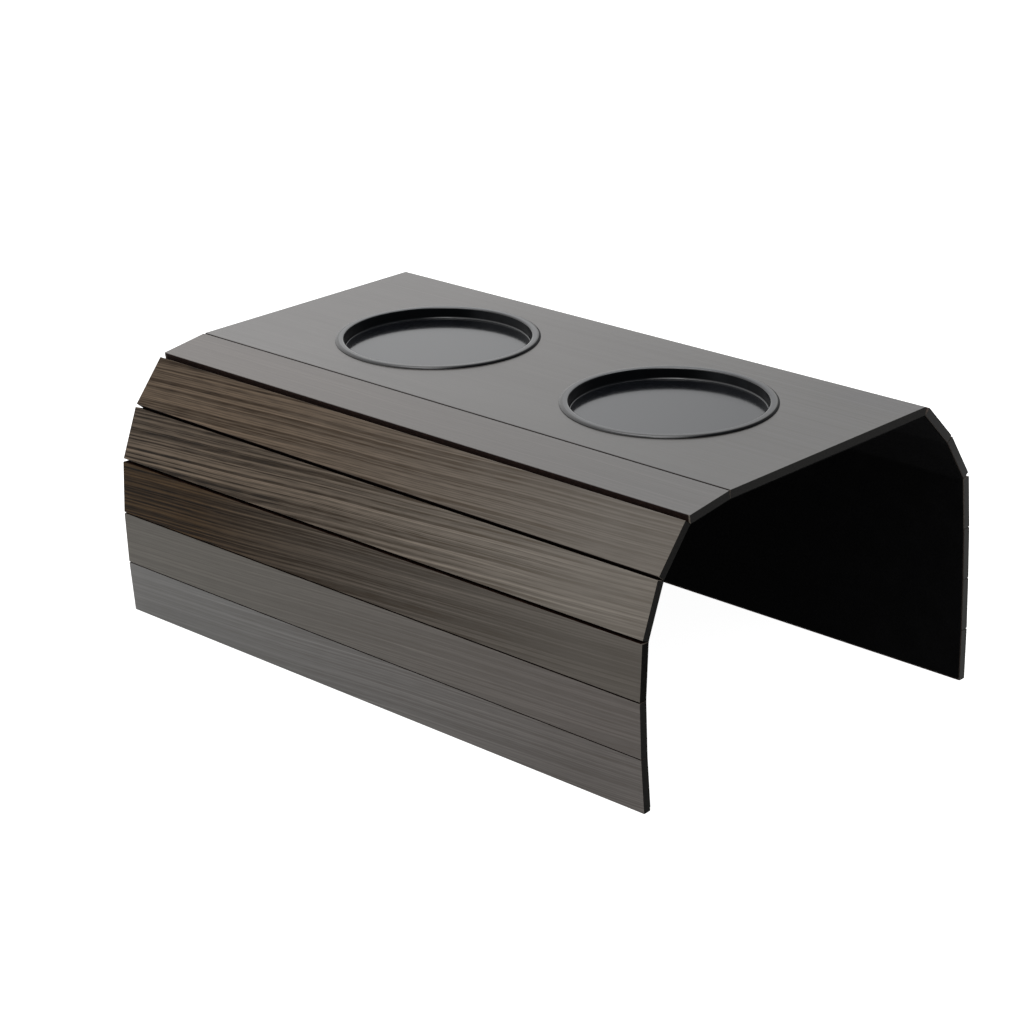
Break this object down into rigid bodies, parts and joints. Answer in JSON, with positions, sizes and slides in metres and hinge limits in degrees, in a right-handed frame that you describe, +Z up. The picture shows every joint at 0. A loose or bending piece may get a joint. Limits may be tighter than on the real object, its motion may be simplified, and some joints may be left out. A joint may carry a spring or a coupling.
{
  "type": "sofa arm tray",
  "caption": "Flexible sofa arm tray: a flat wooden centre panel with drop-in cup recesses, and narrow slats hinged on a black cloth backing so that it arches over the arm.",
  "frame": {"origin": "middle of the tray's outer box in plan, on the level that the feet stand on", "axes": "+X across the sofa arm, to the right seen from the front end; +Y along the slats, away from the front end; +Z up"},
  "size_m": [0.2198, 0.3, 0.1309],
  "materials": {
    "panel_wood": "satin dark wood veneer",
    "slat_wood": "satin dark wood veneer",
    "cup_plastic": "smooth black",
    "cloth": "black felt"
  },
  "bodies": {
    "tray": {"center_panel": "panel_wood", "front_cup_insert": "cup_plastic", "rear_cup_insert": "cup_plastic", "backing_cloth": "cloth"},
    "left_slat_1": {"left_slat_1": "slat_wood"},
    "left_slat_2": {"left_slat_2": "slat_wood"},
    "left_slat_3": {"left_slat_3": "slat_wood"},
    "left_slat_4": {"left_slat_4": "slat_wood"},
    "left_slat_5": {"left_slat_5": "slat_wood"},
    "left_slat_6": {"left_slat_6": "slat_wood"},
    "right_slat_1": {"right_slat_1": "slat_wood"},
    "right_slat_2": {"right_slat_2": "slat_wood"},
    "right_slat_3": {"right_slat_3": "slat_wood"},
    "right_slat_4": {"right_slat_4": "slat_wood"},
    "right_slat_5": {"right_slat_5": "slat_wood"},
    "right_slat_6": {"right_slat_6": "slat_wood"}
  },
  "joints": [
    {"name": "left_hinge_1", "type": "hinge", "parent": "tray", "child": "left_slat_1", "pos_m": [-0.06271, 0, 0.11759], "axis": [0, -1, 0], "range_deg": [-7.9, 47.1], "deforming": ["backing_cloth"]},
    {"name": "left_hinge_2", "type": "hinge", "parent": "left_slat_1", "child": "left_slat_2", "pos_m": [-0.08576, 0, 0.11254], "axis": [0, -1, 0], "range_deg": [-42.2, 7.8]},
    {"name": "left_hinge_3", "type": "hinge", "parent": "left_slat_2", "child": "left_slat_3", "pos_m": [-0.09945, 0, 0.09332], "axis": [0, -1, 0], "range_deg": [-18.5, 26.5]},
    {"name": "left_hinge_4", "type": "hinge", "parent": "left_slat_3", "child": "left_slat_4", "pos_m": [-0.10634, 0, 0.07075], "axis": [0, -1, 0], "range_deg": [-18.2, 21.8]},
    {"name": "left_hinge_5", "type": "hinge", "parent": "left_slat_4", "child": "left_slat_5", "pos_m": [-0.10582, 0, 0.04715], "axis": [0, -1, 0], "range_deg": [-5.2, 34.8]},
    {"name": "left_hinge_6", "type": "hinge", "parent": "left_slat_5", "child": "left_slat_6", "pos_m": [-0.10318, 0, 0.0237], "axis": [0, -1, 0], "range_deg": [-2.5, 37.5]},
    {"name": "right_hinge_1", "type": "hinge", "parent": "tray", "child": "right_slat_1", "pos_m": [0.06291, 0, 0.12735], "axis": [0, 1, 0], "range_deg": [-44.6, 10.4]},
    {"name": "right_hinge_2", "type": "hinge", "parent": "right_slat_1", "child": "right_slat_2", "pos_m": [0.08095, 0, 0.11213], "axis": [0, 1, 0], "range_deg": [-11.7, 38.3]},
    {"name": "right_hinge_3", "type": "hinge", "parent": "right_slat_2", "child": "right_slat_3", "pos_m": [0.09553, 0, 0.09357], "axis": [0, 1, 0], "range_deg": [-28.7, 16.3]},
    {"name": "right_hinge_4", "type": "hinge", "parent": "right_slat_3", "child": "right_slat_4", "pos_m": [0.0994, 0, 0.07029], "axis": [0, 1, 0], "range_deg": [-2.4, 37.6]},
    {"name": "right_hinge_5", "type": "hinge", "parent": "right_slat_4", "child": "right_slat_5", "pos_m": [0.10229, 0, 0.04687], "axis": [0, 1, 0], "range_deg": [-1.1, 38.9]},
    {"name": "right_hinge_6", "type": "hinge", "parent": "right_slat_5", "child": "right_slat_6", "pos_m": [0.10473, 0, 0.02339], "axis": [0, 1, 0], "range_deg": [-2, 38]}
  ]
}
